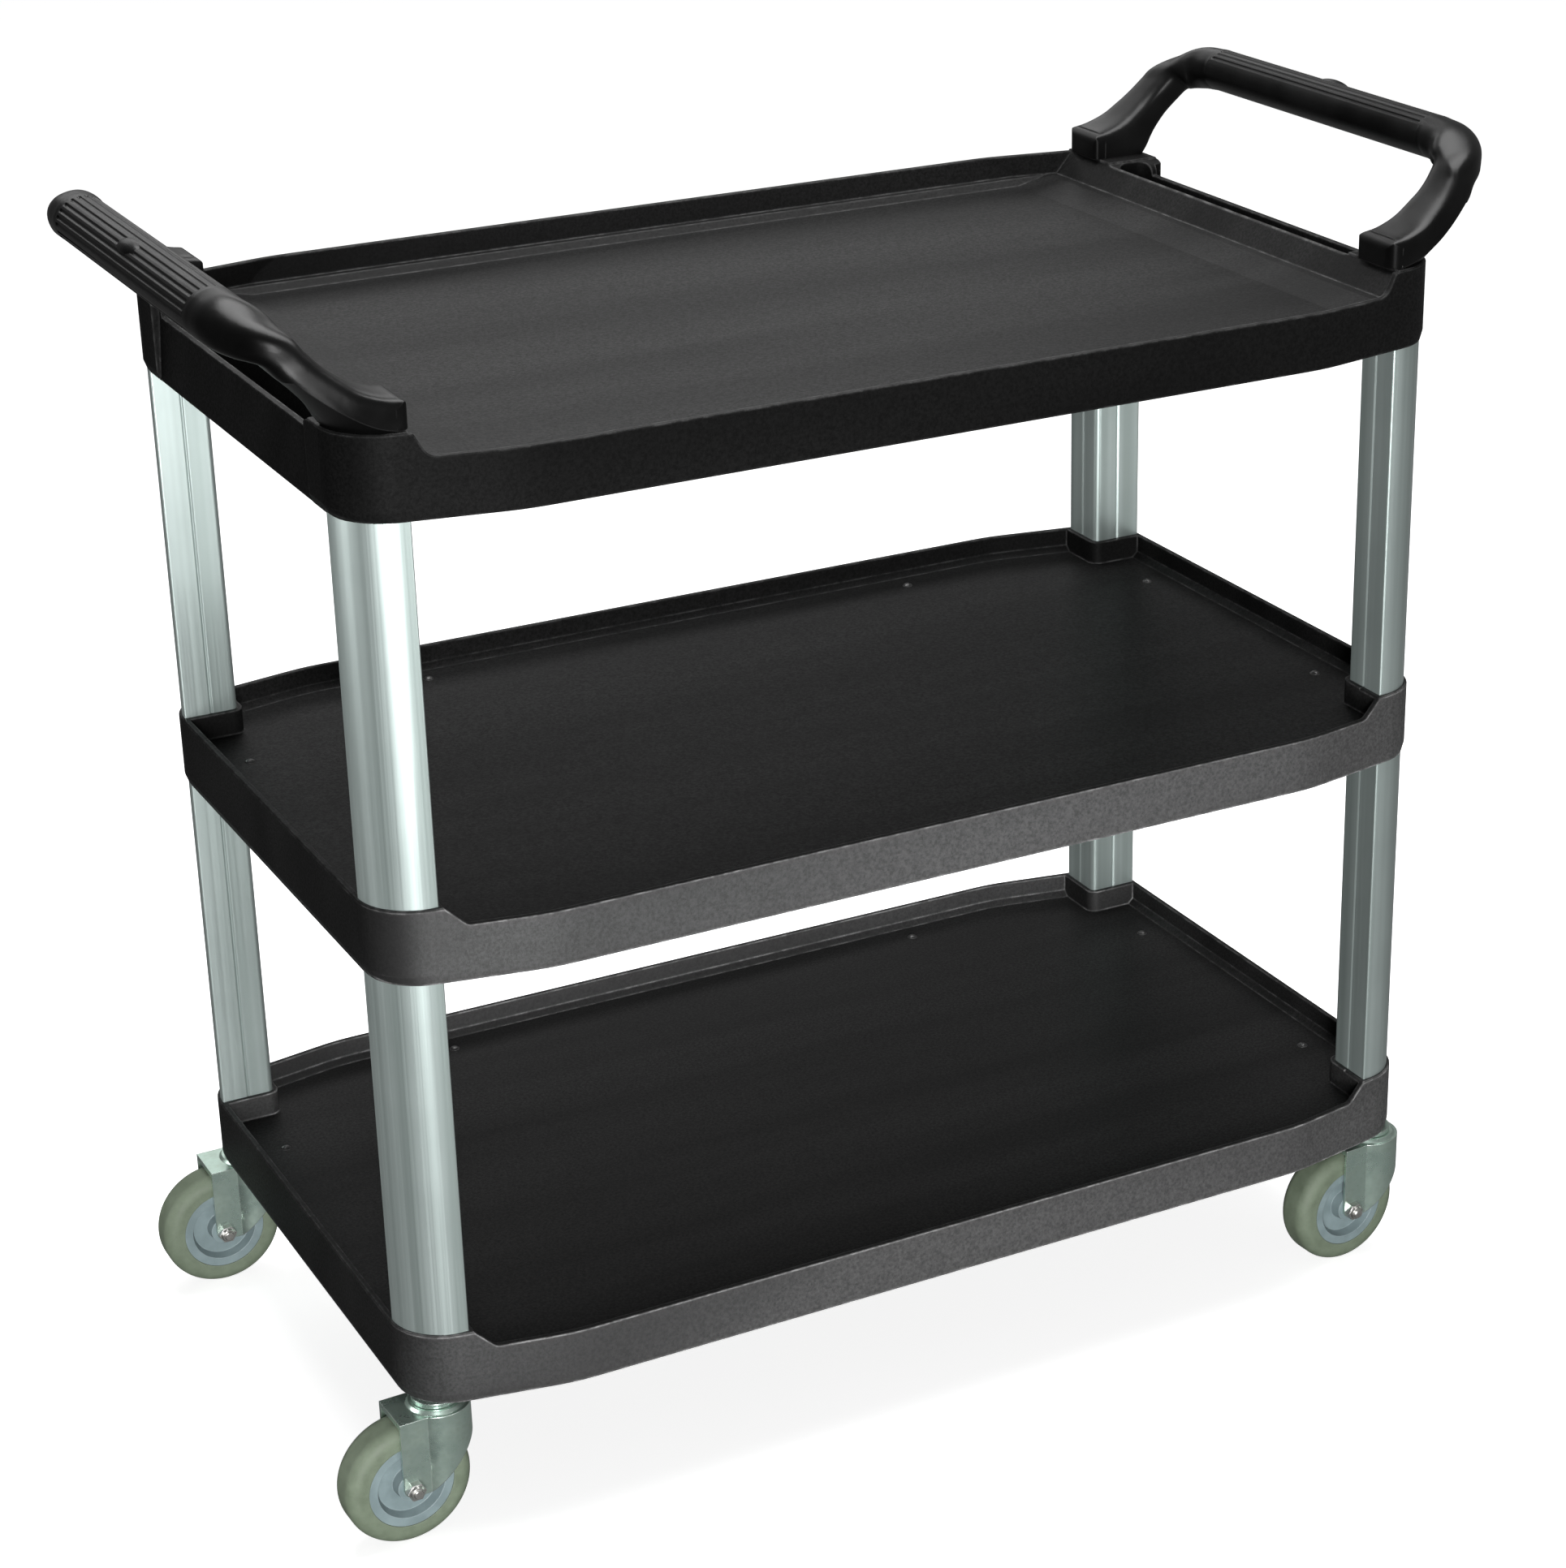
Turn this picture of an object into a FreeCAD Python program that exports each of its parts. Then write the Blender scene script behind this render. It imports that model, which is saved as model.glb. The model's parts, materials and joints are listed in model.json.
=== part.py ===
"""Rolling utility cart: three moulded trays on extruded posts, two push handles, four swivel casters.

Frame: millimetres, +Z up, origin on the floor under the middle of the cart.
+X runs along the cart, from one handle to the other.  -Y is the open front with the low lips.
"""
import FreeCAD, Part
import math
import os

# ---------------------------------------------------------------- trays, in plan
END_X = 444.2            # outer face of the short ends
SIDE_Y = 257.0           # outer face of the long sides
SIDE_BEND_X = 322.0      # where a long side starts to angle in towards the corner
CORNER_Y = 234.0         # where the angled side would meet the end, before rounding
CORNER_R = 44.8
BEND_R = 160.0
END_CHAMFER = 2.5        # ends and corners are drawn in by this much at the bottom edge
CHAMFER_H = 7.0
WALL = 4.7
DECK_T = 3.5
DECK_COVE = 5.0          # sloping cove where the walls of a tray meet its deck

# ---------------------------------------------------------------- trays, in height
TRAY_Z = {"bottom": 113.9, "middle": 456.5, "top": 797.4}
RIM_H = 57.6             # back and end rims of the two lower trays, over the bottom edge
LIP_H = 42.4             # low front lip, over the bottom edge
DECK_H = 37.6            # upper face of the deck, over the bottom edge
WEB_H = 27.5             # web between the post sockets, over the bottom edge
WEB_T = 4.0
NOTCH_X = (380.0, 396.0)  # foot and head of the ramp from the front lip to the rim
NOTCH_R = 7.0
EDGE_R = 1.3

# ---------------------------------------------------------------- top tray
TOP_DECK_Z = 834.0
TOP_LEDGE_Z = 839.5
TOP_LIP_Z = 840.8
TOP_RIM_Z = 857.5
TOP_END_Z = 846.3        # end wall between the corner blocks
BLOCK_Z = 859.0          # top of the four corner blocks that carry the handles
BLOCK_X = 397.0
BLOCK_Y = 176.0          # inner end of a block's flat top
BLOCK_ROUND = 11.2       # quarter round at a block's inner end
END_TOP_X = 438.0        # outer face of the end wall at its top
END_LOW_X = 441.5        # and at its bottom
LEDGE_X = 375.0
LEDGE_END_X = 383.0      # flat step along the ends reaches from LEDGE_X to here
LEDGE_Y = 248.5
LEDGE_W = 7.0            # flat step along the back, between the slope and the wall
DECK_X = 343.0
DECK_Y = 236.0
RAMP_X = (385.0, 395.0)  # foot and head of the ramp from the front lip to the block
RAMP_R = 11.0
TROUGH_X = (401.5, 433.5)
TROUGH_Y = 175.0
TROUGH_R = 13.0
TROUGH_FLOOR_Z = 815.0

# ---------------------------------------------------------------- ribs under the decks
RIB_T = 2.5
RIB_H = 16.0
RIB_XS = (-300, -200, -100, 0, 100, 200, 300)
RIB_YS = (-150, -75, 0, 75, 150)

# ---------------------------------------------------------------- posts
POST_X = 420.0
POST_Y = 216.8
POST_HALF = 22.0
POST_OUTER_R = 42.4      # the corner that faces out of the cart
POST_INNER_R = 5.0
POST_SIDE_R = 1.2
POST_WALL = 2.2
POST_FIT = 0.1           # gap between a post and its socket
SOCKET_WALL = 4.0
GROOVE_W = 3.0
GROOVE_D = 1.0
POST_TOP_Z = 845.0       # where the upper posts stop, under the corner blocks

# ---------------------------------------------------------------- handles
BAR_X = 494.4
BAR_Z = 931.7
BAR_RX = 20.0
BAR_RZ = 17.2
BAR_TILT = -18.8         # the grip's long axis falls away from the cart
FOOT_Z = BLOCK_Z
FOOT_X = 393.0           # inner end of a foot
FOOT_Y = (192.0, 238.0)  # inner and outer sides of a foot
FOOT_R = (4.0, 9.0)
FOOT_INSET = 3.2         # the foot's outline stands in from the block's by this much
BROW_R = 7.0             # rounding of the foot's inner upper edge
BROW_Z = 872.8
FLARE_H = 40.0           # over this height the foot's underside flares out by FLARE
FLARE = 32.0
SECTION_POINTS = 32
HANDLE_STEPS = 3
FLUTE_R = 1.9
FLUTE_HALF = 146.0       # half length of the fluted stretch
FLUTES = 11
PAD_HALF = (8.0, 20.0, 6.0)
HANDLE_SCREWS = ((409.0, 204.0), (424.0, 218.0))
SCREW_R = 2.5
SCREW_HEAD_R = 5.0
SCREW_HEAD_H = 3.5
SCREW_TOP_Z = 876.0

# ---------------------------------------------------------------- deck plugs
PLUG_R = 4.5
PLUG_H = 2.2
PLUG_STEM_R = 2.6
PLUGS = ((-225, 228), (225, 228), (-412, -130), (-412, 130), (412, -130), (412, 130))

# ---------------------------------------------------------------- casters
WHEEL_R = 50.0
WHEEL_HALF = 16.0
SHOULDER_R = 10.0
TRAIL = 30.0             # the axle trails the swivel by this much, towards -X at rest
HUB_R = 34.0
DISH_R = 27.0
DISH_D = 8.0
BOSS_R = 11.5
BUSH_R = 6.5
BUSH_HALF = 17.2
AXLE_R = 4.0
AXLE_FIT = 0.05
SHEET = 2.5
LEG_Y = 20.0             # outer face of the fork's legs
NOSE_R = 25.5            # the fork wraps round the swivel at its front
PLATE_Z = 107.0          # upper face of the fork's top plate
LEG_BACK = 7.5           # leg edge behind the axle
LEG_FOOT_X = -15.8       # lower front corner of a leg
NOSE_Z = 84.0            # lower edge of the wrapped front
DOME_R = 21.0
DOME_Z = 109.6
RACE_R = 18.5
RACE_GAP = 0.5
BALL_R = 1.6
BALL_RING_R = 14.0
BALLS = 16
STEM_R = 6.0
STEM_FIT = 0.05
STEM_TOP_Z = 158.0
PIN_HEAD_R = 9.0
PIN_HEAD_Z = (101.7, 104.1)
NUT_AF = 13.0
NUT_H = 6.0
STEM_NUT_AF = 19.0
STEM_NUT_H = 10.0
CASTERS = {"fl": (-1, -1, 2.0), "fr": (1, -1, 4.0), "bl": (-1, 1, 0.0), "br": (1, 1, 0.0)}
CORNERS = {"fl": (-1, -1), "fr": (1, -1), "bl": (-1, 1), "br": (1, 1)}


def vec(x, y, z=0.0):
    return FreeCAD.Vector(x, y, z)


def rounded(points, radii, z):
    """A closed wire through the corner points at height z, each corner rounded by its radius."""
    corners = [vec(x, y, z) for x, y in points]
    ends = []
    arcs = []
    for i, here in enumerate(corners):
        before = (corners[i - 1] - here).normalize()
        after = (corners[(i + 1) % len(corners)] - here).normalize()
        half = before.getAngle(after) / 2
        run = radii[i] / math.tan(half)
        start = here + before * run
        end = here + after * run
        inward = (before + after).normalize()
        middle = here + inward * (radii[i] / math.sin(half) - radii[i])
        ends.append((start, end))
        arcs.append(Part.Arc(start, middle, end).toShape())
    edges = []
    for i, arc in enumerate(arcs):
        edges.append(arc)
        leave = ends[i][1]
        arrive = ends[(i + 1) % len(arcs)][0]
        if leave.distanceToPoint(arrive) > 1e-6:
            edges.append(Part.makeLine(leave, arrive))
    return Part.Wire(edges)


def prism(wire, height):
    return Part.Face(wire).extrude(vec(0, 0, height))


def loft(wires):
    return Part.makeLoft(wires, True, True)


def box(x, y, z):
    """A box between two limits on each axis."""
    return Part.makeBox(x[1] - x[0], y[1] - y[0], z[1] - z[0], vec(x[0], y[0], z[0]))


def disc(radius, low, high, x=0.0, y=0.0):
    return Part.makeCylinder(radius, high - low, vec(x, y, low))


def slab_xz(points, y):
    """A slab whose outline is drawn in X and Z, between two limits on Y."""
    corners = [vec(px, y[0], pz) for px, pz in points]
    return Part.Face(Part.makePolygon(corners + corners[:1])).extrude(vec(0, y[1] - y[0], 0))


def mirrored(shape, flip_x=False, flip_y=False):
    if flip_x:
        shape = shape.mirror(vec(0, 0, 0), vec(1, 0, 0))
    if flip_y:
        shape = shape.mirror(vec(0, 0, 0), vec(0, 1, 0))
    return shape


def tray_outline(z, inset=0.0, end_inset=0.0):
    """Outline of a tray: straight long sides that angle in near the rounded corners."""
    end = END_X - inset - end_inset
    side = SIDE_Y - inset
    corner = CORNER_Y - inset
    bend = SIDE_BEND_X
    radius = CORNER_R - inset
    points = [(end, corner), (bend, side), (-bend, side), (-end, corner),
              (-end, -corner), (-bend, -side), (bend, -side), (end, -corner)]
    radii = [radius, BEND_R, BEND_R, radius, radius, BEND_R, BEND_R, radius]
    return rounded(points, radii, z)


def tray_blank(base, top):
    """Solid block in the outline of a tray, with its ends drawn in at the bottom edge."""
    foot = loft([tray_outline(base, end_inset=END_CHAMFER), tray_outline(base + CHAMFER_H)])
    body = prism(tray_outline(base + CHAMFER_H), top - base - CHAMFER_H - EDGE_R)
    crown = loft([tray_outline(top - EDGE_R), tray_outline(top, inset=EDGE_R * 0.8)])
    return foot.fuse([body, crown])


def post_wire(sx, sy, z, grow=0.0):
    """Section of a post: a square whose outer corner is nearly a quarter round."""
    half = POST_HALF + grow
    points = [(half, half), (-half, half), (-half, -half), (half, -half)]
    side = max(POST_SIDE_R + grow, 0.4)
    outer = min(POST_OUTER_R + grow, 2 * half - side - 0.2)
    radii = [outer, side, max(POST_INNER_R + grow, 0.4), side]
    placed = [(sx * (POST_X + x), sy * (POST_Y + y)) for x, y in points]
    return rounded(placed, radii, z)


def post(sx, sy, low, high):
    tube = prism(post_wire(sx, sy, low), high - low)
    tube = tube.cut(prism(post_wire(sx, sy, low, -POST_WALL), high - low))
    inner_x = POST_X - POST_HALF
    inner_y = POST_Y - POST_HALF
    groove_x = slab_groove((inner_x, POST_Y), (0, 1), low, high)
    groove_y = slab_groove((POST_X, inner_y), (1, 0), low, high)
    for groove in (groove_x, groove_y):
        tube = tube.cut(mirrored(groove, sx < 0, sy < 0))
    return tube


def slab_groove(centre, along, low, high):
    """A V groove cut into a post's inner face, running the full height."""
    cx, cy = centre
    ax, ay = along
    inward = (1 - ax, 1 - ay)
    points = [(cx - ax * GROOVE_W / 2 - inward[0], cy - ay * GROOVE_W / 2 - inward[1]),
              (cx - ax * GROOVE_W / 2, cy - ay * GROOVE_W / 2),
              (cx + inward[0] * GROOVE_D, cy + inward[1] * GROOVE_D),
              (cx + ax * GROOVE_W / 2, cy + ay * GROOVE_W / 2),
              (cx + ax * GROOVE_W / 2 - inward[0], cy + ay * GROOVE_W / 2 - inward[1])]
    corners = [vec(x, y, low) for x, y in points]
    return Part.Face(Part.makePolygon(corners + corners[:1])).extrude(vec(0, 0, high - low))


def ramp_cut(foot_x, head_x, lip_z, rim_z, y, radius):
    """Everything above the low front lip, with ramps up to the rim at both ends."""
    top = rim_z + 20
    run = (head_x - foot_x) * (top - lip_z) / (rim_z - lip_z)
    points = [(-foot_x, lip_z), (foot_x, lip_z), (foot_x + run, top), (-foot_x - run, top)]
    slab = slab_xz(points, y)
    feet = [e for e in slab.Edges
            if abs(e.CenterOfMass.z - lip_z) < 0.01 and abs(abs(e.CenterOfMass.x) - foot_x) < 0.01]
    return slab.makeFillet(radius, feet)


def deck_ribs(base, deck_under):
    ribs = [box((x - RIB_T / 2, x + RIB_T / 2), (-SIDE_Y, SIDE_Y), (deck_under - RIB_H, deck_under))
            for x in RIB_XS]
    ribs += [box((-END_X, END_X), (y - RIB_T / 2, y + RIB_T / 2), (deck_under - RIB_H, deck_under))
             for y in RIB_YS]
    return ribs


def lower_tray(level):
    """Middle or bottom tray: deck, walls, four double post sockets and ribs under the deck."""
    base = TRAY_Z[level]
    rim = base + RIM_H
    deck = base + DECK_H
    columns = [prism(post_wire(sx, sy, base, SOCKET_WALL), RIM_H) for sx, sy in CORNERS.values()]
    hollow = loft([tray_outline(deck, WALL + DECK_COVE), tray_outline(deck + DECK_COVE, WALL)])
    hollow = hollow.fuse(prism(tray_outline(deck + DECK_COVE, WALL), RIM_H))
    hollow = hollow.cut(columns)
    under = prism(tray_outline(base, WALL, END_CHAMFER), DECK_H - DECK_T)
    under = under.cut(columns + deck_ribs(base, deck - DECK_T))
    tray = tray_blank(base, rim).cut([hollow, under])
    tray = tray.cut(ramp_cut(NOTCH_X[0], NOTCH_X[1], base + LIP_H, rim, (-SIDE_Y - 9, -POST_Y), NOTCH_R))
    web_low = base + WEB_H - WEB_T
    web_high = base + WEB_H
    for sx, sy in CORNERS.values():
        tray = tray.cut(prism(post_wire(sx, sy, web_high, POST_FIT), RIM_H))
        if level == "middle":
            tray = tray.cut(prism(post_wire(sx, sy, base - 1, POST_FIT), WEB_H - WEB_T + 1))
        else:
            chamber = prism(post_wire(sx, sy, base + WALL, -2.0), web_low - base - WALL)
            chamber = chamber.cut(disc(STEM_R * 2, base, web_high, sx * POST_X, sy * POST_Y))
            stem_hole = disc(STEM_R, base - 1, web_high + 1, sx * POST_X, sy * POST_Y)
            tray = tray.cut([chamber, stem_hole])
    return cut_plug_holes(tray, deck)


def cut_plug_holes(tray, deck):
    for x, y in PLUGS:
        tray = tray.cut(disc(PLUG_STEM_R, deck - DECK_T - 1, deck + 1, x, y))
    return tray


def deck_plugs(level):
    """Domed push-in plugs that close the moulding holes at the edge of a deck."""
    deck = TRAY_Z[level] + DECK_H
    sphere_r = (PLUG_R ** 2 + PLUG_H ** 2) / (2 * PLUG_H)
    plugs = []
    for x, y in PLUGS:
        dome = Part.makeSphere(sphere_r, vec(x, y, deck + PLUG_H - sphere_r))
        dome = dome.common(disc(PLUG_R, deck, deck + PLUG_H + 1, x, y))
        plugs.append(dome.fuse(disc(PLUG_STEM_R, deck - DECK_T, deck + PLUG_H / 2, x, y)))
    return plugs


def top_tray():
    """Top tray: recessed deck with sloping borders, a trough at each end, four handle blocks."""
    base = TRAY_Z["top"]
    far = SIDE_Y + 20
    blank = tray_blank(base, BLOCK_Z)
    open_top = box((-BLOCK_X, BLOCK_X), (-far, far), (TOP_RIM_Z, BLOCK_Z + 1))
    rounds = [Part.makeCylinder(BLOCK_ROUND, END_X, vec(BLOCK_X - 5, sy * BLOCK_Y, TOP_END_Z),
                                vec(1, 0, 0)) for sy in (-1, 1)]
    end_gap = box((BLOCK_X, END_X + 9), (-BLOCK_Y, BLOCK_Y), (TOP_END_Z, BLOCK_Z + 1)).cut(rounds)
    upper = Part.makeLoft([rectangle(LEDGE_END_X, -SIDE_Y + WALL, LEDGE_Y, TOP_LEDGE_Z),
                           rectangle(BLOCK_X, -SIDE_Y + WALL, SIDE_Y - WALL, TOP_RIM_Z)], True, True)
    inside = prism(tray_outline(TOP_DECK_Z - 1, WALL), BLOCK_Z - TOP_DECK_Z + 2)
    lower = Part.makeLoft([rectangle(DECK_X, -DECK_Y, DECK_Y, TOP_DECK_Z),
                           rectangle(LEDGE_X, -LEDGE_Y, LEDGE_Y - LEDGE_W, TOP_LEDGE_Z)], True, True)
    upper, lower = upper.common(inside), lower.common(inside)
    ramp = ramp_cut(RAMP_X[0], RAMP_X[1], TOP_LIP_Z, BLOCK_Z, (-far, -DECK_Y), RAMP_R)
    lean = slab_xz([(END_LOW_X, base - 1), (END_TOP_X, TOP_END_Z), (END_TOP_X, BLOCK_Z + 1),
                    (END_X + 9, BLOCK_Z + 1), (END_X + 9, base - 1)],
                   (-BLOCK_Y + BLOCK_ROUND - 4, BLOCK_Y - BLOCK_ROUND + 4))
    trough_plan = [(x, y) for x, y in zip(TROUGH_X + TROUGH_X[::-1],
                                          (-TROUGH_Y, -TROUGH_Y, TROUGH_Y, TROUGH_Y))]
    trough = prism(rounded(trough_plan, [TROUGH_R] * 4, TROUGH_FLOOR_Z), BLOCK_Z - TROUGH_FLOOR_Z + 1)
    under_trough = box((BLOCK_X + 5, TROUGH_X[1]), (-TROUGH_Y, TROUGH_Y),
                       (base - 1, TROUGH_FLOOR_Z - DECK_T))
    under_band = slab_xz([(LEDGE_X + 5, TOP_DECK_Z - DECK_T - 1), (BLOCK_X, TOP_DECK_Z - DECK_T - 1),
                          (BLOCK_X, TOP_RIM_Z - 5), (BLOCK_X - 2, TOP_RIM_Z - 5)],
                         (-TROUGH_Y, TROUGH_Y))
    columns = [prism(post_wire(sx, sy, base, SOCKET_WALL), POST_TOP_Z - base)
               for sx, sy in CORNERS.values()]
    under = prism(tray_outline(base, WALL), TOP_DECK_Z - DECK_T - base)
    under = under.common(box((-BLOCK_X, BLOCK_X), (-far, far), (base, TOP_DECK_Z)))
    under = under.cut(columns + deck_ribs(base, TOP_DECK_Z - DECK_T))
    tray = blank.cut([open_top, upper, lower, ramp, under])
    for flip in (False, True):
        ends = [mirrored(tool, flip_x=flip) for tool in (end_gap, lean, trough, under_trough, under_band)]
        tray = tray.cut(ends)
    for sx, sy in CORNERS.values():
        tray = tray.cut(prism(post_wire(sx, sy, base - 1, POST_FIT), POST_TOP_Z - base + 1))
        for x, y in HANDLE_SCREWS:
            head = disc(SCREW_HEAD_R, POST_TOP_Z - 1, POST_TOP_Z + SCREW_HEAD_H, sx * x, sy * y)
            shank = disc(SCREW_R, POST_TOP_Z, BLOCK_Z + 1, sx * x, sy * y)
            tray = tray.cut([head, shank])
    return tray


def rectangle(half_x, low_y, high_y, z):
    corners = [vec(-half_x, low_y, z), vec(half_x, low_y, z), vec(half_x, high_y, z),
               vec(-half_x, high_y, z)]
    return Part.makePolygon(corners + corners[:1])


def section(station):
    """A closed smooth section of the handle, square to its path.

    A station is centre, path direction, outward direction, half sizes, squareness and tilt.
    """
    centre = vec(*station[0:3])
    along = vec(*station[3:6]).normalize()
    outward = vec(*station[6:9])
    outward = (outward - along * outward.dot(along)).normalize()
    turn = FreeCAD.Rotation(along, station[12])
    outward = turn.multVec(outward)
    up = outward.cross(along)
    half_out, half_up, power = station[9:12]
    points = []
    for i in range(SECTION_POINTS):
        angle = 2 * math.pi * i / SECTION_POINTS
        c = math.cos(angle)
        s = math.sin(angle)
        r_out = half_out * math.copysign(abs(c) ** (2 / power), c)
        r_up = half_up * math.copysign(abs(s) ** (2 / power), s)
        points.append(centre + outward * r_out + up * r_up)
    curve = Part.BSplineCurve()
    curve.interpolate(Points=points, PeriodicFlag=True)
    return Part.Wire(curve.toShape())


def arm_station(upper, lower, mid_y, half_y, power):
    """A station of the front arm, from its upper and lower points in X and Z."""
    rise = (upper[0] - lower[0], upper[1] - lower[1])
    return ((upper[0] + lower[0]) / 2, mid_y, (upper[1] + lower[1]) / 2,
            rise[1], 0.0, -rise[0], 0.0, -1.0, 0.0, half_y, math.hypot(*rise) / 2, power, 0.0)


def unit_frame(station):
    """The same station with its two directions at unit length."""
    along = vec(*station[3:6]).normalize()
    outward = vec(*station[6:9]).normalize()
    return station[:3] + tuple(along) + tuple(outward) + station[9:]


def between(stations, steps):
    """Stations on a smooth curve through the given ones, evenly spread between each two."""
    path = []
    for i in range(len(stations) - 1):
        p0 = stations[max(i - 1, 0)]
        p1 = stations[i]
        p2 = stations[i + 1]
        p3 = stations[min(i + 2, len(stations) - 1)]
        for k in range(steps):
            t = k / steps
            path.append(tuple(b + t / 2 * (c - a + t * (2 * a - 5 * b + 4 * c - d + t * (3 * (b - c) + d - a)))
                              for a, b, c, d in zip(p0, p1, p2, p3)))
    return path + [stations[-1]]


ARM = [
    arm_station((393.0, 879.4), (393.0, 838.0), -215.0, 23.2, 7.0),
    arm_station((407.0, 882.0), (420.0, 844.0), -215.0, 23.4, 6.5),
    arm_station((424.0, 888.5), (441.0, 857.0), -214.0, 23.4, 5.5),
    arm_station((437.0, 898.0), (453.0, 876.0), -212.5, 21.8, 4.6),
    arm_station((447.5, 907.5), (464.0, 889.0), -211.0, 20.0, 4.0),
    arm_station((456.5, 918.0), (475.0, 899.8), -208.0, 19.2, 3.6),
    arm_station((463.5, 927.5), (484.0, 909.0), -203.0, 19.0, 3.2),
]
GRIP_END = [
    (483.8, -190.5, 925.0, 0.62, 0.62, 0.42, 0.7, -0.7, 0.0, 19.8, 15.2, 2.6, 6.0),
    (492.5, -174.0, 930.0, 0.16, 1.0, 0.1, 1.0, 0.0, 0.0, 19.6, BAR_RZ, 2.2, 14.0),
    (BAR_X, -150.0, BAR_Z, 0.0, 1.0, 0.0, 1.0, 0.0, 0.0, BAR_RX, BAR_RZ, 2.0, -BAR_TILT),
]


def foot_plan():
    """Plan of a handle's foot, open towards the arm, rounded at its inner end."""
    low_y, high_y = FOOT_Y
    points = [(FOOT_X, -high_y), (BAR_X * 2, -high_y), (BAR_X * 2, -low_y), (FOOT_X, -low_y)]
    return rounded(points, [FOOT_R[1], 1, 1, FOOT_R[0]], FOOT_Z)


def foot_cuts():
    """What a lofted arm loses: all below the foot, the flared corner, and the edges of its inner end."""
    y = (-SIDE_Y, 0)
    inner = (FOOT_X - 9, FOOT_X + BROW_R + 3)
    below = box((FOOT_X - 9, BAR_X), y, (FOOT_Z - 60, FOOT_Z))
    flare = loft([tray_outline(FOOT_Z, FOOT_INSET), tray_outline(FOOT_Z + FLARE_H, FOOT_INSET - FLARE)])
    corner = box((POST_X - POST_HALF, BAR_X), (-SIDE_Y, POST_HALF - POST_Y), (FOOT_Z, FOOT_Z + FLARE_H))
    corner = corner.cut(flare)
    sides = box(inner, y, (FOOT_Z, FOOT_Z + 60)).cut(prism(foot_plan(), 60))
    brow = box((FOOT_X - 9, FOOT_X + BROW_R), y, (BROW_Z, BROW_Z + 60))
    brow = brow.cut(Part.makeCylinder(BROW_R, SIDE_Y, vec(FOOT_X + BROW_R, -SIDE_Y, BROW_Z), vec(0, 1, 0)))
    return [below, corner, sides, brow]


def handle():
    """The +X handle: a U of one moulding, fluted over the top of the grip, with an oval pad."""
    front = between([unit_frame(station) for station in ARM + GRIP_END], HANDLE_STEPS)
    arm = Part.makeLoft([section(station) for station in front], True, False).cut(foot_cuts())
    end = max(arm.Faces, key=lambda face: face.CenterOfMass.y)
    bar = end.extrude(vec(0, -2 * end.CenterOfMass.y, 0))
    flutes = []
    for i in range(FLUTES):
        angle = math.radians(-12 + 16.5 * i)
        x, z = grip_point(angle, 0.9)
        groove = Part.makeCylinder(FLUTE_R, 2 * FLUTE_HALF, vec(x, -FLUTE_HALF, z), vec(0, 1, 0))
        caps = [Part.makeSphere(FLUTE_R, vec(x, sy * FLUTE_HALF, z)) for sy in (-1, 1)]
        flutes.append(groove.fuse(caps))
    x, z = grip_point(math.radians(78), -3.5)
    pad = Part.makeSphere(1.0, vec(0, 0, 0))
    matrix = FreeCAD.Matrix()
    matrix.scale(*PAD_HALF)
    pad = pad.transformGeometry(matrix)
    pad.rotate(vec(0, 0, 0), vec(0, 1, 0), -BAR_TILT)
    pad.translate(vec(x, 0, z))
    body = arm.fuse([bar.cut(flutes).fuse(pad), mirrored(arm, flip_y=True)])
    for x, y in HANDLE_SCREWS:
        body = body.cut([disc(SCREW_R, FOOT_Z - 1, SCREW_TOP_Z, x, sy * y) for sy in (-1, 1)])
    return body


def grip_point(angle, proud):
    """A point on the grip's section, this much outside its surface."""
    u = (BAR_RX + proud) * math.cos(angle)
    w = (BAR_RZ + proud) * math.sin(angle)
    tilt = math.radians(BAR_TILT)
    return (BAR_X + u * math.cos(tilt) - w * math.sin(tilt),
            BAR_Z + u * math.sin(tilt) + w * math.cos(tilt))


def handle_screws(sx):
    """The four screws that come up through the corner blocks into one handle's feet."""
    screws = []
    for x, y in HANDLE_SCREWS:
        for sy in (-1, 1):
            head = disc(SCREW_HEAD_R, POST_TOP_Z, POST_TOP_Z + SCREW_HEAD_H, sx * x, sy * y)
            screws.append(head.fuse(disc(SCREW_R, POST_TOP_Z, SCREW_TOP_Z, sx * x, sy * y)))
    return screws


def hex_prism(flats, low, high):
    radius = flats / math.sqrt(3)
    corners = [vec(radius * math.cos(math.radians(60 * i)), radius * math.sin(math.radians(60 * i)), low)
               for i in range(6)]
    return Part.Face(Part.makePolygon(corners + corners[:1])).extrude(vec(0, 0, high - low))


def to_axle(shape):
    """Turn a part drawn along +Z so that it lies along -Y, on the axle of a caster."""
    shape.rotate(vec(0, 0, 0), vec(1, 0, 0), 90)
    shape.translate(vec(-TRAIL, 0, WHEEL_R))
    return shape


def fork_plan(z, inset=0.0):
    """Plan of the fork: straight legs that open into a round nose about the swivel."""
    half = LEG_Y - inset
    nose = NOSE_R - inset
    meet = -math.sqrt(nose ** 2 - half ** 2)
    back = -TRAIL - LEG_BACK - (1 if inset else 0)
    edges = [Part.makeLine(vec(back, half, z), vec(meet, half, z)),
             Part.Arc(vec(meet, half, z), vec(nose, 0, z), vec(meet, -half, z)).toShape(),
             Part.makeLine(vec(meet, -half, z), vec(back, -half, z)),
             Part.makeLine(vec(back, -half, z), vec(back, half, z))]
    return Part.Wire(edges)


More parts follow.
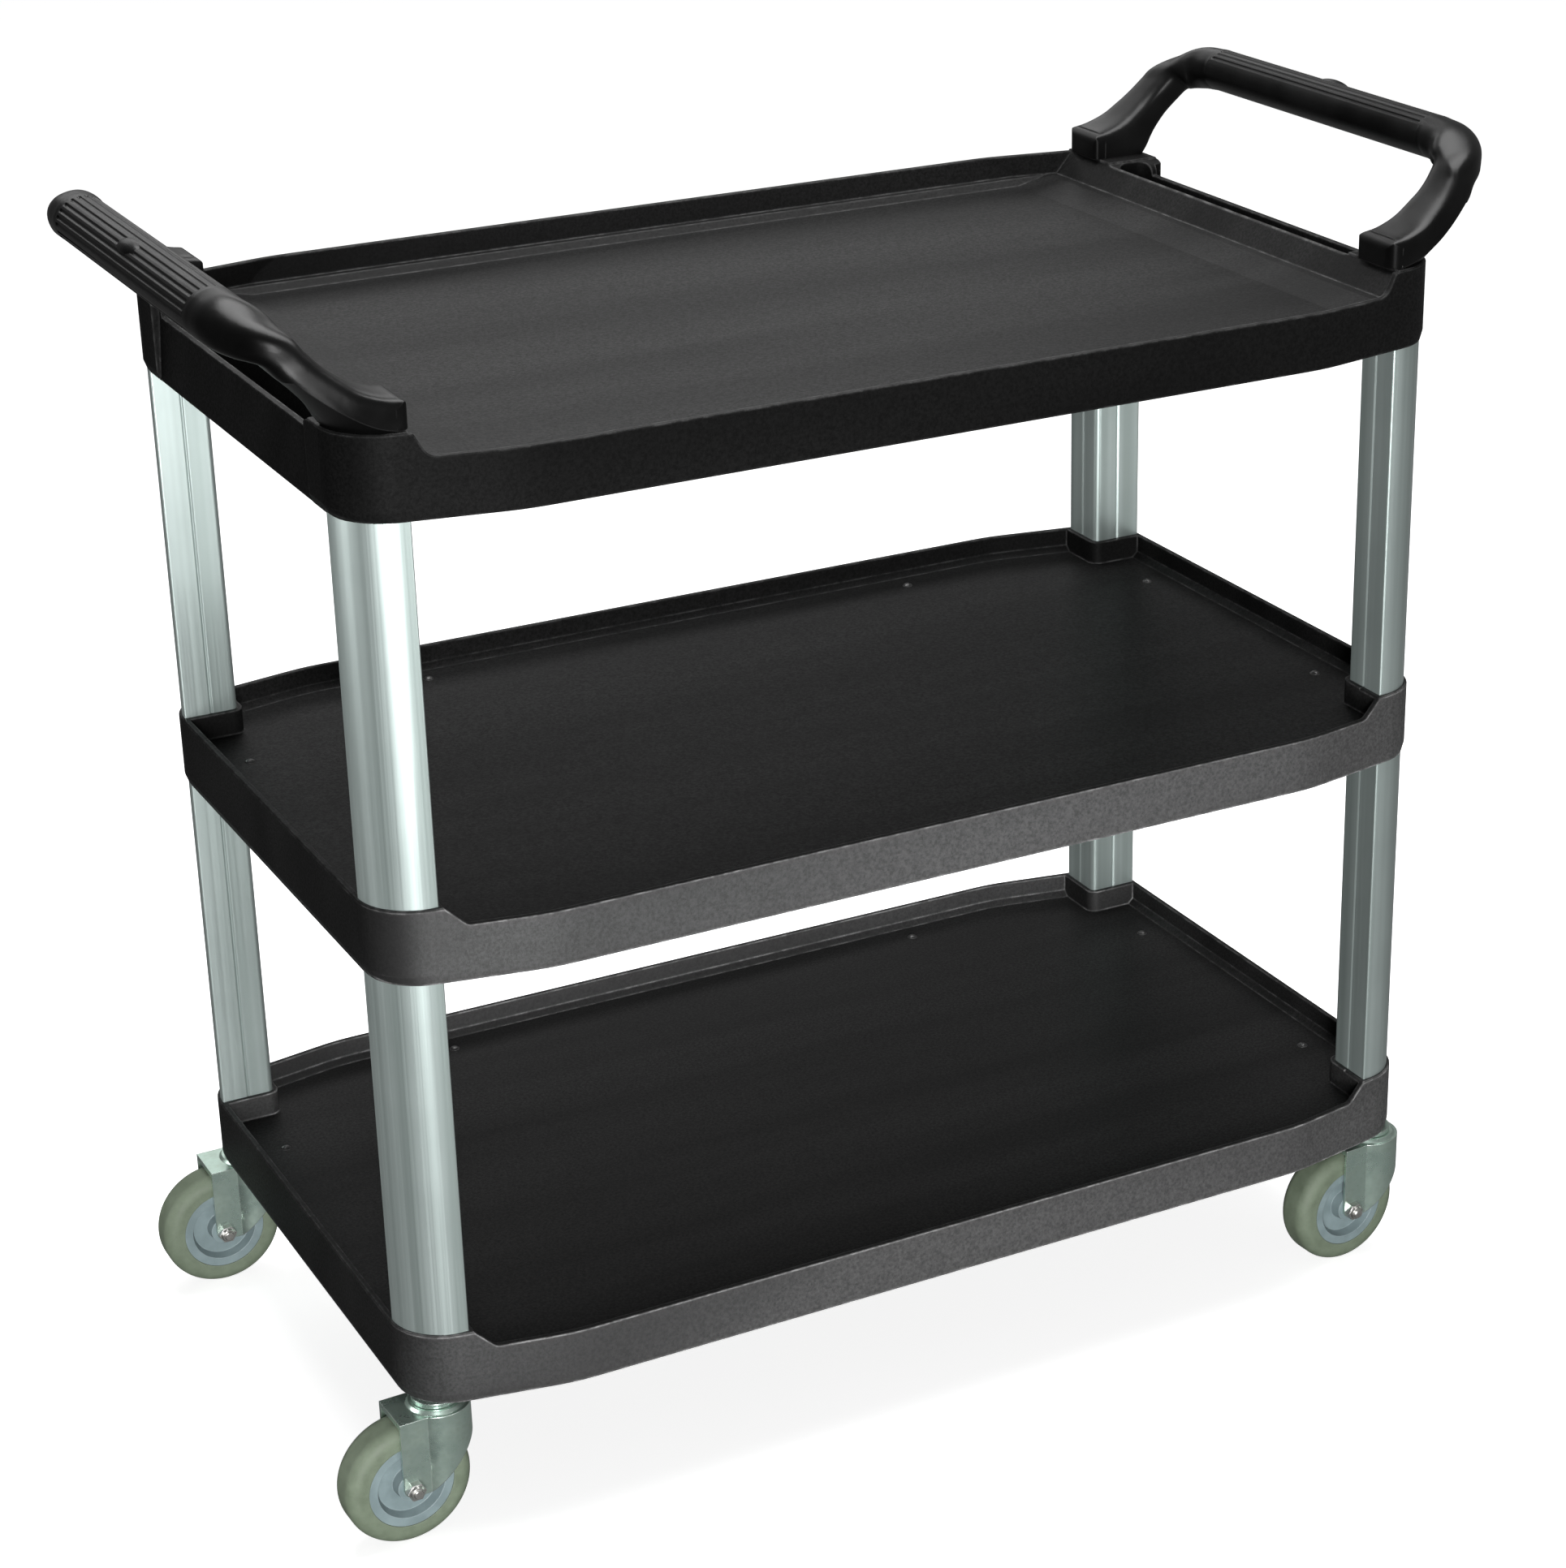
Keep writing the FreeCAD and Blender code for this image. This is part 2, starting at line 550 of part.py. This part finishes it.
def fork():
    """Pressed sheet fork: two legs, a wrapped nose, a top plate with a lip and a raised raceway."""
    under = PLATE_Z - SHEET
    foot_z = WHEEL_R - LEG_BACK
    back = -TRAIL - LEG_BACK
    walls = prism(fork_plan(foot_z), under - foot_z).cut(prism(fork_plan(foot_z, SHEET), under - foot_z))
    below = slab_xz([(LEG_FOOT_X, foot_z - 1), (LEG_FOOT_X, foot_z), (NOSE_R + 1, NOSE_Z),
                     (NOSE_R + 1, foot_z - 1)], (-NOSE_R - 1, NOSE_R + 1))
    corner = box((back - 1, -TRAIL), (-LEG_Y - 1, LEG_Y + 1), (foot_z - 1, WHEEL_R))
    corner = corner.cut(to_axle(disc(LEG_BACK, -LEG_Y - 2, LEG_Y + 2)))
    walls = walls.cut([below, corner])
    plate = prism(fork_plan(under), SHEET)
    lip = box((back, back + SHEET), (-LEG_Y, LEG_Y), (under - 2.0, under))
    dome = Part.makeCone(DOME_R + 2.0, DOME_R, DOME_Z - PLATE_Z, vec(0, 0, PLATE_Z))
    dome = dome.cut(disc(BALL_RING_R - BALL_R - 2.5, PLATE_Z, DOME_Z + 1))
    groove = Part.makeTorus(BALL_RING_R, BALL_R, vec(0, 0, DOME_Z))
    body = walls.fuse([plate, lip, dome]).removeSplitter()
    swivel_hole = disc(STEM_R + STEM_FIT, under - 1, DOME_Z + 1)
    axle_hole = to_axle(disc(AXLE_R, -LEG_Y - 1, LEG_Y + 1))
    return body.cut([groove, swivel_hole, axle_hole])


def swivel_balls():
    ring = []
    for i in range(BALLS):
        angle = 2 * math.pi * i / BALLS
        ring.append(Part.makeSphere(BALL_R, vec(BALL_RING_R * math.cos(angle),
                                                BALL_RING_R * math.sin(angle), DOME_Z)))
    return ring


def swivel_race():
    """Fixed cup over the balls, pressed on the stem, against the underside of the tray."""
    low = DOME_Z + RACE_GAP
    high = TRAY_Z["bottom"]
    cup = disc(RACE_R, low, high).cut(disc(STEM_R, low - 1, high + 1))
    return cup.cut(Part.makeTorus(BALL_RING_R, BALL_R + 0.4, vec(0, 0, DOME_Z)))


def stem():
    """King pin and threaded stem in one: its head holds the fork up from below."""
    pin = disc(STEM_R, PIN_HEAD_Z[0], STEM_TOP_Z).fuse(disc(PIN_HEAD_R, *PIN_HEAD_Z))
    tip = [e for e in pin.Edges if abs(e.CenterOfMass.z - STEM_TOP_Z) < 0.01]
    return pin.makeChamfer(1.2, tip)


def stem_nut():
    low = TRAY_Z["bottom"] + WEB_H
    washer = disc(STEM_R * 2, low, low + 1.6)
    nut = hex_prism(STEM_NUT_AF, low + 1.6, low + 1.6 + STEM_NUT_H)
    return washer.fuse(nut).cut(disc(STEM_R, low - 1, STEM_TOP_Z))


def revolved(points):
    """A ring from its outline in radius and width, turned about the axle."""
    corners = [vec(r, 0, w) for r, w in points]
    face = Part.Face(Part.makePolygon(corners + corners[:1]))
    return face.revolve(vec(0, 0, 0), vec(0, 0, 1), 360)


def tread():
    """Soft tyre with rounded shoulders, moulded on the rim of the hub."""
    half = WHEEL_HALF
    corner = SHOULDER_R
    ring = revolved([(HUB_R, -half), (WHEEL_R, -half), (WHEEL_R, half), (HUB_R, half)])
    rims = [e for e in ring.Edges if e.Curve.TypeId == "Part::GeomCircle"
            and abs(e.Curve.Radius - WHEEL_R) < 0.01]
    return to_axle(ring.makeFillet(corner, rims))


def hub():
    """Plastic wheel centre: flat outer ring, dished web, boss round the bush."""
    half = WHEEL_HALF
    floor = half - DISH_D
    slope = 2.5
    points = [(BUSH_R, -BUSH_HALF), (BOSS_R, -BUSH_HALF), (BOSS_R + 1.0, -floor), (DISH_R - slope, -floor),
              (DISH_R, -half + 0.8), (HUB_R, -half + 0.8), (HUB_R, half - 0.8), (DISH_R, half - 0.8),
              (DISH_R - slope, floor), (BOSS_R + 1.0, floor), (BOSS_R, BUSH_HALF), (BUSH_R, BUSH_HALF)]
    return to_axle(revolved(points))


def bush():
    tube = disc(BUSH_R, -BUSH_HALF, BUSH_HALF).cut(disc(AXLE_R + AXLE_FIT, -BUSH_HALF, BUSH_HALF))
    return to_axle(tube)


def axle_bolt():
    """Bolt through both legs: head on the far side, its tip standing out of the nut."""
    shank = disc(AXLE_R, -LEG_Y, LEG_Y + NUT_H + 4)
    head = hex_prism(NUT_AF, -LEG_Y - 5.5, -LEG_Y)
    tip = [e for e in shank.Edges if abs(e.CenterOfMass.z - LEG_Y - NUT_H - 4) < 0.01]
    return to_axle(shank.makeChamfer(0.8, tip).fuse(head))


def axle_nut():
    nut = hex_prism(NUT_AF, LEG_Y, LEG_Y + NUT_H)
    collar = Part.makeCone(NUT_AF / 2 - 0.4, NUT_AF / 2 - 1.6, 2.2, vec(0, 0, LEG_Y + NUT_H))
    return to_axle(nut.fuse(collar).cut(disc(AXLE_R, LEG_Y - 1, LEG_Y + NUT_H + 5)))


def save(name, shape):
    solids = shape if isinstance(shape, list) else shape.Solids
    for solid in solids:
        if not solid.isValid():
            print("not valid:", name)
    body = solids[0] if len(solids) == 1 else Part.makeCompound(solids)
    body.exportStep("parts/" + name + ".step")
    print(name, len(solids), round(body.Volume / 1000, 1), "cm3")


def build_casters():
    pieces = {"fork": fork, "bearing_balls": swivel_balls, "bearing_cup": swivel_race, "stem": stem,
              "wheel_hub": hub, "tread": tread, "hub_bush": bush, "axle_bolt": axle_bolt,
              "axle_nut": axle_nut}
    for corner, (sx, sy, yaw) in CASTERS.items():
        for name, make in pieces.items():
            made = make()
            solids = made if isinstance(made, list) else [made]
            for solid in solids:
                solid.rotate(vec(0, 0, 0), vec(0, 0, 1), yaw)
                solid.translate(vec(sx * POST_X, sy * POST_Y, 0))
            save("caster_" + corner + "_" + name, solids if len(solids) > 1 else solids[0])
    nuts = []
    for sx, sy in CORNERS.values():
        nut = stem_nut()
        nut.translate(vec(sx * POST_X, sy * POST_Y, 0))
        nuts.append(nut)
    save("caster_stem_nuts", nuts)


def build():
    os.makedirs("parts", exist_ok=True)
    save("top_shelf", top_tray())
    save("middle_shelf", lower_tray("middle"))
    save("bottom_shelf", lower_tray("bottom"))
    webs = {level: TRAY_Z[level] + WEB_H for level in ("bottom", "middle")}
    for corner, (sx, sy) in CORNERS.items():
        save("lower_post_" + corner, post(sx, sy, webs["bottom"], webs["middle"] - WEB_T))
        save("upper_post_" + corner, post(sx, sy, webs["middle"], POST_TOP_Z))
    right = handle()
    save("right_handle", right)
    save("left_handle", mirrored(right, flip_x=True))
    save("right_handle_screws", handle_screws(1))
    save("left_handle_screws", handle_screws(-1))
    save("middle_shelf_plugs", deck_plugs("middle"))
    save("bottom_shelf_plugs", deck_plugs("bottom"))
    build_casters()


build()
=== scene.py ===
"""Looks of the rolling utility cart: materials, studio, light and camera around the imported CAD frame.

Metres, +Z up, origin on the floor under the middle of the cart.  -Y is the open front.
"""

import json
import math

import bpy
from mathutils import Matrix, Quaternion, Vector

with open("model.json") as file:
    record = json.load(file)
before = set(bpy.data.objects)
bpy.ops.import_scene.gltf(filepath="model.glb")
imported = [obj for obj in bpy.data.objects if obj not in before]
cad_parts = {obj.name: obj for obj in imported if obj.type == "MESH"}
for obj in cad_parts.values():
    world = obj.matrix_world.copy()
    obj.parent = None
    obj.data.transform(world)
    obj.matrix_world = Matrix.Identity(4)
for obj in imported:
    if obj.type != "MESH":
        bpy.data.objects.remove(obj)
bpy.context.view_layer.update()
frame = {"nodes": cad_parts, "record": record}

# ------------------------------------------------------------------ camera, fitted to the photo
CAMERA_AT = Vector((-1.1637, -2.3667, 1.5473))
CAMERA_YAW = math.radians(27.832)
CAMERA_PITCH = math.radians(23.108)
CAMERA_ROLL = math.radians(-0.909)
CAMERA_LENS = 81.30             # mm, on a sensor of CAMERA_SENSOR mm
CAMERA_SENSOR = 36.0
CAMERA_SHIFT = (-0.0695, 0.0083)
CAMERA_CLIP = (0.05, 60.0)

# ------------------------------------------------------------------ studio
FLOOR_HALF = 14.0
FLOOR_GLOW = 0.88               # keeps the far floor as white as the near floor
WORLD_BRIGHT = 0.16
WORLD_DARK = 0.015              # the studio is dark towards -X, so the near end falls off to black
WORLD_FADE = (-0.75, 0.15)      # where along X, on the unit sphere, dark turns to bright
WHITE = (1.0, 1.0, 1.0, 1.0)

CART_MIDDLE = (0.0, 0.0, 0.5)
TOP_TRAY_MIDDLE = (0.0, 0.0, 0.8)
BOTTOM_TRAY_FRONT = (-0.05, 0.0, 0.27)
LOW_MIDDLE = (0.0, 0.0, 0.3)
NEAR_CORNER = (-0.4, -0.2, 0.6)

# A soft box lights every piece, unless "only" names the group of pieces that it is for.
SOFT_BOXES = (
    dict(name="overhead", at=(0.3, 0.4, 2.9), aim=TOP_TRAY_MIDDLE, size=(2.4, 1.6), power=82.0),
    dict(name="tray_front", at=(-0.15, -1.7, 0.24), aim=BOTTOM_TRAY_FRONT, size=(1.9, 0.4),
         power=34.0, spread=80.0, only="lower_trays"),
    dict(name="corner", at=(-1.3, -3.2, 1.2), aim=NEAR_CORNER, size=(0.5, 1.2), power=70.0,
         only="black"),
    dict(name="metal_front", at=(-1.4, -3.0, 0.9), aim=CART_MIDDLE, size=(0.7, 1.8), power=160.0,
         only="bright"),
    dict(name="metal_low", at=(0.9, -2.6, 0.15), aim=LOW_MIDDLE, size=(1.4, 0.7), power=13.0,
         only="bright"),
    dict(name="metal_side", at=(-2.8, 0.6, 0.9), aim=CART_MIDDLE, size=(1.6, 1.6), power=26.0,
         only="bright"),
    dict(name="back_high", at=(0.6, 3.0, 2.2), aim=CART_MIDDLE, size=(3.0, 1.2), power=14.0),
)


# ------------------------------------------------------------------ shader helpers
MIX_FIRST, MIX_SECOND, MIX_COLOUR_OUT = 6, 7, 2     # colour sockets of a Mix node
ROUGH_SPAN = (0.3, 0.7)                             # part of a noise that drives roughness
EDGE_SPAN = (0.004, 0.10)                           # 1 - cosine between soft and hard normals
EDGE_SAMPLES = 6


class Shader:
    """A node-based material with one Principled surface, and short ways to add nodes to it."""

    def __init__(self, name):
        self.material = bpy.data.materials.new(name)
        self.material.use_nodes = True
        self.tree = self.material.node_tree
        self.surface = self.tree.nodes["Principled BSDF"]
        self.place = self.add("TexCoord").outputs["Object"]

    def add(self, kind, inputs=None, **settings):
        made = self.tree.nodes.new("ShaderNode" + kind)
        for key, value in settings.items():
            setattr(made, key, value)
        for key, value in (inputs or {}).items():
            self.feed(made.inputs[key], value)
        return made

    def feed(self, socket, value):
        if isinstance(value, bpy.types.NodeSocket):
            self.tree.links.new(value, socket)
        else:
            socket.default_value = value

    def set(self, **values):
        for key, value in values.items():
            self.feed(self.surface.inputs[key.replace("_", " ")], value)
        return self.material

    def noise(self, scale, detail=4.0, rough=0.55, stretch=None):
        """Noise with features about 1/scale metres wide; stretch gives one scale per axis."""
        where = self.place
        if stretch:
            where = self.add("Mapping", {"Vector": where, "Scale": stretch}).outputs["Vector"]
        made = self.add("TexNoise", {"Vector": where, "Scale": scale, "Detail": detail,
                                     "Roughness": rough})
        return made.outputs["Fac"]

    def cells(self, scale):
        made = self.add("TexVoronoi", {"Vector": self.place, "Scale": scale}, feature="F1")
        return made.outputs["Distance"]

    def remap(self, value, span, low=0.0, high=1.0):
        """Value taken from span to low..high, held at both ends."""
        made = self.add("MapRange", {"Value": value, "From Min": span[0], "From Max": span[1],
                                     "To Min": low, "To Max": high})
        return made.outputs["Result"]

    def roughness(self, value, low, high):
        return self.remap(value, ROUGH_SPAN, low, high)

    def math(self, operation, first, second):
        return self.add("Math", {0: first, 1: second}, operation=operation).outputs["Value"]

    def blend(self, factor, first, second):
        made = self.add("Mix", {"Factor": factor, MIX_FIRST: first, MIX_SECOND: second},
                        data_type="RGBA")
        return made.outputs[MIX_COLOUR_OUT]

    def edge_highlight(self, tone, edge, amount, highlight_tone):
        """Tone with a painted highlight along its edges, lightened towards the highlight tone."""
        return self.blend(self.math("MULTIPLY", edge, amount), tone, highlight_tone)

    def bump(self, height, strength, depth, base):
        return self.add("Bump", {"Height": height, "Strength": strength, "Distance": depth,
                                 "Normal": base}).outputs["Normal"]

    def edges(self, radius):
        """Softened normal at edges, and a mask that is 1 on the edges and 0 on flat faces."""
        soft = self.add("Bevel", {"Radius": radius}, samples=EDGE_SAMPLES).outputs["Normal"]
        hard = self.add("NewGeometry").outputs["Normal"]
        dot = self.add("VectorMath", {0: soft, 1: hard}, operation="DOT_PRODUCT").outputs["Value"]
        return soft, self.remap(self.math("SUBTRACT", 1.0, dot), EDGE_SPAN)


def grey(level, tint=(1.0, 1.0, 1.0)):
    return (level * tint[0], level * tint[1], level * tint[2], 1.0)


# ------------------------------------------------------------------ materials
def shelf_plastic():
    """Fine grained matte black moulding, with faint flow streaks along the tray and a painted highlight
    along its edges, broken up by noise.
    """
    s = Shader("shelf_plastic")
    soft, edge = s.edges(radius=0.0026)
    streaks = s.noise(scale=1.0, detail=2.0, stretch=(1.3, 13.0, 6.0))
    mottle = s.noise(scale=430.0, detail=3.0, rough=0.7)
    grain = s.noise(scale=1500.0, detail=2.0, rough=0.7)
    # noise that breaks up the painted edge highlight below
    highlight_breakup = s.remap(s.noise(scale=70.0, detail=6.0, rough=0.7), (0.45, 0.60), low=0.25)
    tone = s.blend(s.remap(streaks, (0.38, 0.64)), grey(0.009), grey(0.021))
    tone = s.blend(s.remap(mottle, (0.35, 0.65), high=0.75), tone, grey(0.004))
    # painted highlight: the edges are lightened towards grey 0.14, more or less as the noise above says
    tone = s.edge_highlight(tone, edge, amount=s.math("MULTIPLY", highlight_breakup, 0.8), highlight_tone=grey(0.14))
    return s.set(Base_Color=tone, Roughness=s.roughness(mottle, 0.44, 0.58),
                 Specular_IOR_Level=0.12,
                 Normal=s.bump(grain, strength=0.35, depth=0.0003, base=soft))


def handle_plastic():
    """Smoother, semi-gloss black moulding, rubbed smooth where hands hold it."""
    s = Shader("handle_plastic")
    soft, edge = s.edges(radius=0.0012)
    rubbed = s.noise(scale=16.0, detail=5.0)
    grain = s.noise(scale=1900.0, detail=2.0, rough=0.7)
    tone = s.blend(s.remap(rubbed, (0.40, 0.65)), grey(0.004), grey(0.009))
    # painted highlight: the edges are lightened towards grey 0.06
    tone = s.edge_highlight(tone, edge, amount=0.55, highlight_tone=grey(0.06))
    return s.set(Base_Color=tone, Roughness=s.roughness(rubbed, 0.27, 0.38),
                 Specular_IOR_Level=0.24,
                 Normal=s.bump(grain, strength=0.22, depth=0.0002, base=soft))


def post_aluminium():
    """Satin anodised extrusion: die lines run up each post, with a faint green cast."""
    s = Shader("post_aluminium")
    soft, edge = s.edges(radius=0.0008)
    lines = s.noise(scale=1.0, detail=4.0, rough=0.7, stretch=(420.0, 420.0, 1.4))
    bands = s.noise(scale=1.0, detail=2.0, stretch=(70.0, 70.0, 0.6))
    cloud = s.noise(scale=9.0)
    tone = s.blend(s.remap(bands, (0.36, 0.64)),
                   grey(0.50, tint=(0.85, 1.0, 0.96)), grey(0.66, tint=(0.87, 1.0, 0.97)))
    tone = s.blend(s.remap(cloud, (0.40, 0.70), high=0.35), tone,
                   grey(0.44, tint=(0.84, 1.0, 0.96)))
    # painted highlight: the edges are lightened towards grey 0.66
    tone = s.edge_highlight(tone, edge, amount=0.15, highlight_tone=grey(0.66))
    return s.set(Base_Color=tone, Metallic=0.80, Roughness=s.roughness(lines, 0.30, 0.42),
                 Normal=s.bump(lines, strength=0.03, depth=0.0001, base=soft))


def zinc_steel():
    """Bright zinc plate over pressed sheet: faint spangle, handling marks and a green cast."""
    s = Shader("zinc_steel")
    soft, edge = s.edges(radius=0.0009)
    spangle = s.cells(scale=240.0)
    cloud = s.noise(scale=38.0, detail=5.0, rough=0.65)
    tone = s.blend(s.remap(cloud, (0.36, 0.66)),
                   grey(0.74, tint=(0.76, 1.0, 0.88)), grey(0.62, tint=(0.80, 1.0, 0.86)))
    tone = s.blend(s.remap(spangle, (0.10, 0.70), high=0.30), tone,
                   grey(0.82, tint=(0.82, 1.0, 0.92)))
    # painted highlight: the edges are lightened towards grey 0.86
    tone = s.edge_highlight(tone, edge, amount=0.6, highlight_tone=grey(0.86))
    return s.set(Base_Color=tone, Metallic=0.92, Roughness=s.roughness(cloud, 0.22, 0.38),
                 Normal=s.bump(cloud, strength=0.12, depth=0.0003, base=soft))


def screw_steel():
    """Zinc plated fasteners: fine turning marks and patches of dirt."""
    s = Shader("screw_steel")
    soft, edge = s.edges(radius=0.0005)
    marks = s.noise(scale=900.0, detail=3.0)
    dirt = s.noise(scale=120.0)
    tone = s.blend(s.remap(dirt, (0.40, 0.66)),
                   grey(0.62, tint=(1.0, 0.99, 0.95)), grey(0.36, tint=(1.0, 0.98, 0.92)))
    # painted highlight: the edges are lightened towards grey 0.85
    tone = s.edge_highlight(tone, edge, amount=0.7, highlight_tone=grey(0.85))
    return s.set(Base_Color=tone, Metallic=0.95, Roughness=s.roughness(dirt, 0.24, 0.42),
                 Normal=s.bump(marks, strength=0.15, depth=0.0001, base=soft))


def tread_rubber():
    """Matte olive grey rubber with dust and scuffs from the floor."""
    s = Shader("tread_rubber")
    soft, edge = s.edges(radius=0.0012)
    dust = s.noise(scale=85.0, detail=6.0, rough=0.7)
    pores = s.cells(scale=1400.0)
    tone = s.blend(s.remap(dust, (0.36, 0.66)),
                   grey(0.125, tint=(0.79, 1.0, 0.68)), grey(0.160, tint=(0.80, 1.0, 0.70)))
    # painted highlight: the edges are lightened towards pale olive grey 0.22
    tone = s.edge_highlight(tone, edge, amount=0.4, highlight_tone=grey(0.22, tint=(0.84, 1.0, 0.76)))
    scuffed = s.bump(dust, strength=0.2, depth=0.0003, base=soft)
    return s.set(Base_Color=tone, Roughness=s.roughness(dust, 0.55, 0.75),
                 Normal=s.bump(pores, strength=0.25, depth=0.0002, base=scuffed))


def hub_plastic():
    """Blue-grey moulded wheel centre, a little glossier than the tread."""
    s = Shader("hub_plastic")
    soft, edge = s.edges(radius=0.0009)
    cloud = s.noise(scale=55.0)
    grain = s.noise(scale=1600.0, detail=2.0)
    tone = s.blend(s.remap(cloud, (0.36, 0.66)),
                   grey(0.180, tint=(0.76, 1.0, 1.04)), grey(0.230, tint=(0.77, 1.0, 1.04)))
    # painted highlight: the edges are lightened towards pale blue-grey 0.36
    tone = s.edge_highlight(tone, edge, amount=0.5, highlight_tone=grey(0.36, tint=(0.84, 1.0, 1.03)))
    return s.set(Base_Color=tone, Roughness=s.roughness(cloud, 0.38, 0.52),
                 Normal=s.bump(grain, strength=0.2, depth=0.0002, base=soft))


def plug_plastic():
    """Satin black caps in the decks."""
    s = Shader("plug_plastic")
    soft, edge = s.edges(radius=0.0006)
    cloud = s.noise(scale=300.0, detail=3.0)
    tone = s.blend(s.remap(cloud, (0.40, 0.64)), grey(0.030), grey(0.050))
    # painted highlight: the edges are lightened towards grey 0.20
    tone = s.edge_highlight(tone, edge, amount=0.6, highlight_tone=grey(0.20))
    return s.set(Base_Color=tone, Roughness=s.roughness(cloud, 0.26, 0.38),
                 Normal=s.bump(cloud, strength=0.15, depth=0.0002, base=soft))


def floor_paint():
    """Seamless pale studio floor."""
    s = Shader("floor_paint")
    cloud = s.noise(scale=1.5, detail=3.0)
    tone = s.blend(s.remap(cloud, (0.35, 0.65)), grey(0.86), grey(0.90))
    return s.set(Base_Color=tone, Roughness=s.roughness(cloud, 0.75, 0.85),
                 Emission_Color=WHITE, Emission_Strength=FLOOR_GLOW)


FINISHES = {made.__name__: made() for made in (
    shelf_plastic, handle_plastic, post_aluminium, zinc_steel, screw_steel, tread_rubber,
    hub_plastic, plug_plastic)}


def dress_cad_nodes():
    """Every CAD node takes the material of its slot in the record."""
    for part in frame["record"]["subparts"]:
        piece = frame["nodes"][part["node"]]
        piece.data.materials.clear()
        piece.data.materials.append(FINISHES[part["material_slot"]])


# ------------------------------------------------------------------ studio pieces
def make_floor():
    """A white floor that is left out of reflections, so it does not light the cart from below."""
    mesh = bpy.data.meshes.new("floor")
    h = FLOOR_HALF
    mesh.from_pydata([(-h, -h, 0), (h, -h, 0), (h, h, 0), (-h, h, 0)], [], [(0, 1, 2, 3)])
    mesh.materials.append(floor_paint())
    floor = bpy.data.objects.new("floor", mesh)
    bpy.context.scene.collection.objects.link(floor)
    floor.visible_diffuse = False
    floor.visible_glossy = False


def make_world():
    """Soft white surroundings that fade to dark towards -X."""
    world = bpy.data.worlds.new("studio")
    bpy.context.scene.world = world
    world.use_nodes = True
    tree = world.node_tree
    sky = tree.nodes["Background"]
    sky.inputs["Color"].default_value = WHITE
    towards = tree.nodes.new("ShaderNodeTexCoord")
    split = tree.nodes.new("ShaderNodeSeparateXYZ")
    level = tree.nodes.new("ShaderNodeMapRange")
    level.inputs["From Min"].default_value, level.inputs["From Max"].default_value = WORLD_FADE
    level.inputs["To Min"].default_value = WORLD_DARK
    level.inputs["To Max"].default_value = WORLD_BRIGHT
    tree.links.new(towards.outputs["Generated"], split.inputs["Vector"])
    tree.links.new(split.outputs["X"], level.inputs["Value"])
    tree.links.new(level.outputs["Result"], sky.inputs["Strength"])


def make_camera():
    """A camera at the photo's place, turned by yaw from +Y, then pitch down, then roll."""
    data = bpy.data.cameras.new("camera")
    data.sensor_width = CAMERA_SENSOR
    data.lens = CAMERA_LENS
    data.shift_x, data.shift_y = CAMERA_SHIFT
    data.clip_start, data.clip_end = CAMERA_CLIP
    camera = bpy.data.objects.new("camera", data)
    ahead = Vector((math.sin(CAMERA_YAW) * math.cos(CAMERA_PITCH),
                    math.cos(CAMERA_YAW) * math.cos(CAMERA_PITCH), -math.sin(CAMERA_PITCH)))
    camera.location = CAMERA_AT
    camera.rotation_mode = "QUATERNION"
    camera.rotation_quaternion = (ahead.to_track_quat("-Z", "Y")
                                  @ Quaternion((0.0, 0.0, 1.0), CAMERA_ROLL))
    bpy.context.scene.collection.objects.link(camera)
    bpy.context.scene.camera = camera


def soft_box(name, at, aim, size, power, spread=180.0, only=None):
    """A rectangular area light; spread in degrees, only a list of the pieces that it lights."""
    lamp = bpy.data.lights.new(name, "AREA")
    lamp.shape = "RECTANGLE"
    lamp.size, lamp.size_y = size
    lamp.energy = power
    lamp.spread = math.radians(spread)
    made = bpy.data.objects.new(name, lamp)
    made.location = at
    made.rotation_mode = "QUATERNION"
    made.rotation_quaternion = (Vector(aim) - Vector(at)).to_track_quat("-Z", "Y")
    made.visible_camera = False
    bpy.context.scene.collection.objects.link(made)
    if only:
        lit = bpy.data.collections.new(name + "_lights")
        for piece in only:
            lit.objects.link(piece)
        made.light_linking.receiver_collection = lit


def make_lights():
    nodes = frame["nodes"]
    bright = [piece for name, piece in nodes.items() if "post" in name or "caster" in name]
    groups = {None: None,
              "lower_trays": [nodes["middle_shelf"], nodes["bottom_shelf"]],
              "bright": bright,
              "black": [piece for piece in nodes.values() if piece not in bright]}
    for settings in SOFT_BOXES:
        soft_box(**{**settings, "only": groups[settings.get("only")]})


dress_cad_nodes()
make_floor()
make_world()
make_camera()
make_lights()
bpy.context.scene.view_settings.view_transform = "Standard"
